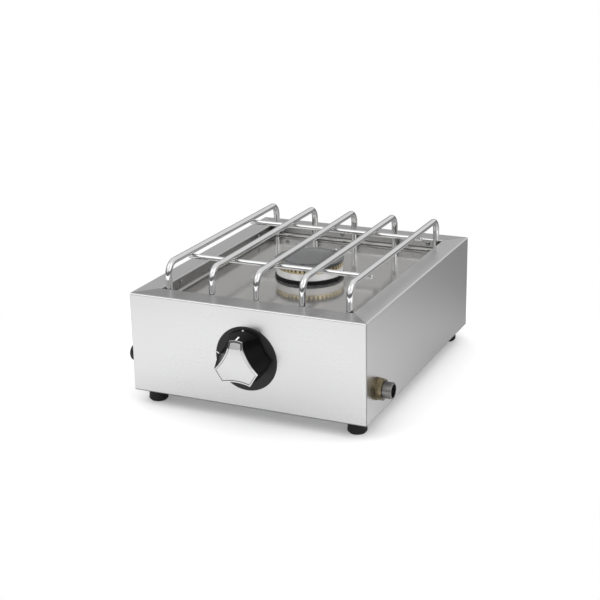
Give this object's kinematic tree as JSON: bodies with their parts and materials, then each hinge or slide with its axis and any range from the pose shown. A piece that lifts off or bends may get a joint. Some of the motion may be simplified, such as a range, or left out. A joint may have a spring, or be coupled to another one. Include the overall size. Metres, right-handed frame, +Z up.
{
  "type": "gas boiling ring",
  "caption": "Countertop stainless steel gas stove: a round burner in a bright pan under a grate of U-shaped bars, with a tap knob on the front and a gas pipe through the sides.",
  "frame": {"origin": "middle of the overall box, on the table under the feet", "axes": "+X to the right seen from the knob side, +Y from the knob to the rear, +Z up"},
  "size_m": [0.339, 0.3984, 0.1732],
  "materials": {
    "stainless_panel": "fine brushed stainless steel",
    "galvanised_sheet": "zinc-coated sheet",
    "bright_pan": "bright annealed stainless steel",
    "plated_steel": "zinc-plated steel",
    "screw_steel": "stainless screw",
    "foot_rubber": "matt black rubber",
    "polished_rod": "polished stainless rod",
    "black_enamel": "gloss black enamel",
    "black_iron": "black enamelled iron",
    "polished_cup": "polished aluminium",
    "crown_brass": "machined brass",
    "brass": "turned brass",
    "dark_pipe": "dark zinc-nickel coated steel",
    "black_plastic": "black moulded plastic",
    "yellow_zinc": "yellow passivated zinc",
    "probe_steel": "bright probe steel",
    "copper_lead": "copper capillary",
    "ceramic": "glazed ceramic",
    "silicone_lead": "silicone insulation",
    "grip_gloss": "gloss black thermoset",
    "knob_silver": "satin silver",
    "knob_chrome": "bright chrome edge"
  },
  "bodies": {
    "casing": {"front_panel": "stainless_panel", "rear_panel": "stainless_panel", "left_panel": "stainless_panel", "right_panel": "stainless_panel", "corner_gussets": "galvanised_sheet", "base_plate": "galvanised_sheet", "burner_bracket": "galvanised_sheet", "tap_strap": "galvanised_sheet", "drip_pan": "bright_pan", "base_screws": "plated_steel", "foot_screws": "plated_steel", "foot_nuts": "plated_steel", "bracket_studs": "plated_steel", "bracket_nuts": "plated_steel", "cup_screws": "plated_steel", "strap_screws": "plated_steel", "cover_screws": "plated_steel", "magnet_unit": "plated_steel", "electrode_pin": "plated_steel", "pan_screws": "screw_steel", "foot_front_left": "foot_rubber", "foot_front_right": "foot_rubber", "foot_rear_left": "foot_rubber", "foot_rear_right": "foot_rubber", "burner_base_ring": "black_iron", "burner_cup": "polished_cup", "mixing_tube": "polished_cup", "supply_tube": "polished_cup", "injector": "brass", "injector_holder": "brass", "tube_nuts": "brass", "tap_body": "brass", "tap_cover": "brass", "thermocouple_nut": "brass", "gas_pipe": "dark_pipe", "pipe_plug": "black_plastic", "knob_disc": "black_plastic", "piezo_igniter": "black_plastic", "pipe_washers": "yellow_zinc", "pipe_lock_nuts": "yellow_zinc", "thermocouple": "probe_steel", "thermocouple_lead": "copper_lead", "spark_electrode": "ceramic", "igniter_lead": "silicone_lead"},
    "tap_cone": {"tap_cone": "brass"},
    "knob": {"tap_stem": "plated_steel", "stem_spring": "plated_steel", "knob_grip": "grip_gloss", "knob_face": "knob_silver", "knob_rim": "knob_chrome"},
    "crown": {"burner_crown": "crown_brass"},
    "cap": {"burner_cap": "black_enamel"},
    "grate": {"grate_bar_1": "polished_rod", "grate_bar_2": "polished_rod", "grate_bar_3": "polished_rod", "grate_bar_4": "polished_rod", "grate_bar_5": "polished_rod", "grate_cross_rod_front": "polished_rod", "grate_cross_rod_rear": "polished_rod"}
  },
  "joints": [
    {"name": "tap_turn", "type": "hinge", "parent": "casing", "child": "tap_cone", "pos_m": [0.0008, -0.13575, 0.0785], "axis": [0, -1, 0], "range_deg": [0, 210]},
    {"name": "knob_push", "type": "slide", "parent": "tap_cone", "child": "knob", "axis": [0, 1, 0], "range_m": [0, 0.003], "stiffness_N_per_m": 800, "springref_m": -0.002},
    {"name": "crown_lift", "type": "slide", "parent": "casing", "child": "crown", "axis": [0, 0, 1], "range_m": [0, 0.007]},
    {"name": "cap_lift", "type": "slide", "parent": "crown", "child": "cap", "axis": [0, 0, 1], "range_m": [0, 0.008]},
    {"name": "grate_lift", "type": "slide", "parent": "casing", "child": "grate", "axis": [0, 0, 1], "range_m": [0, 0.06]}
  ]
}
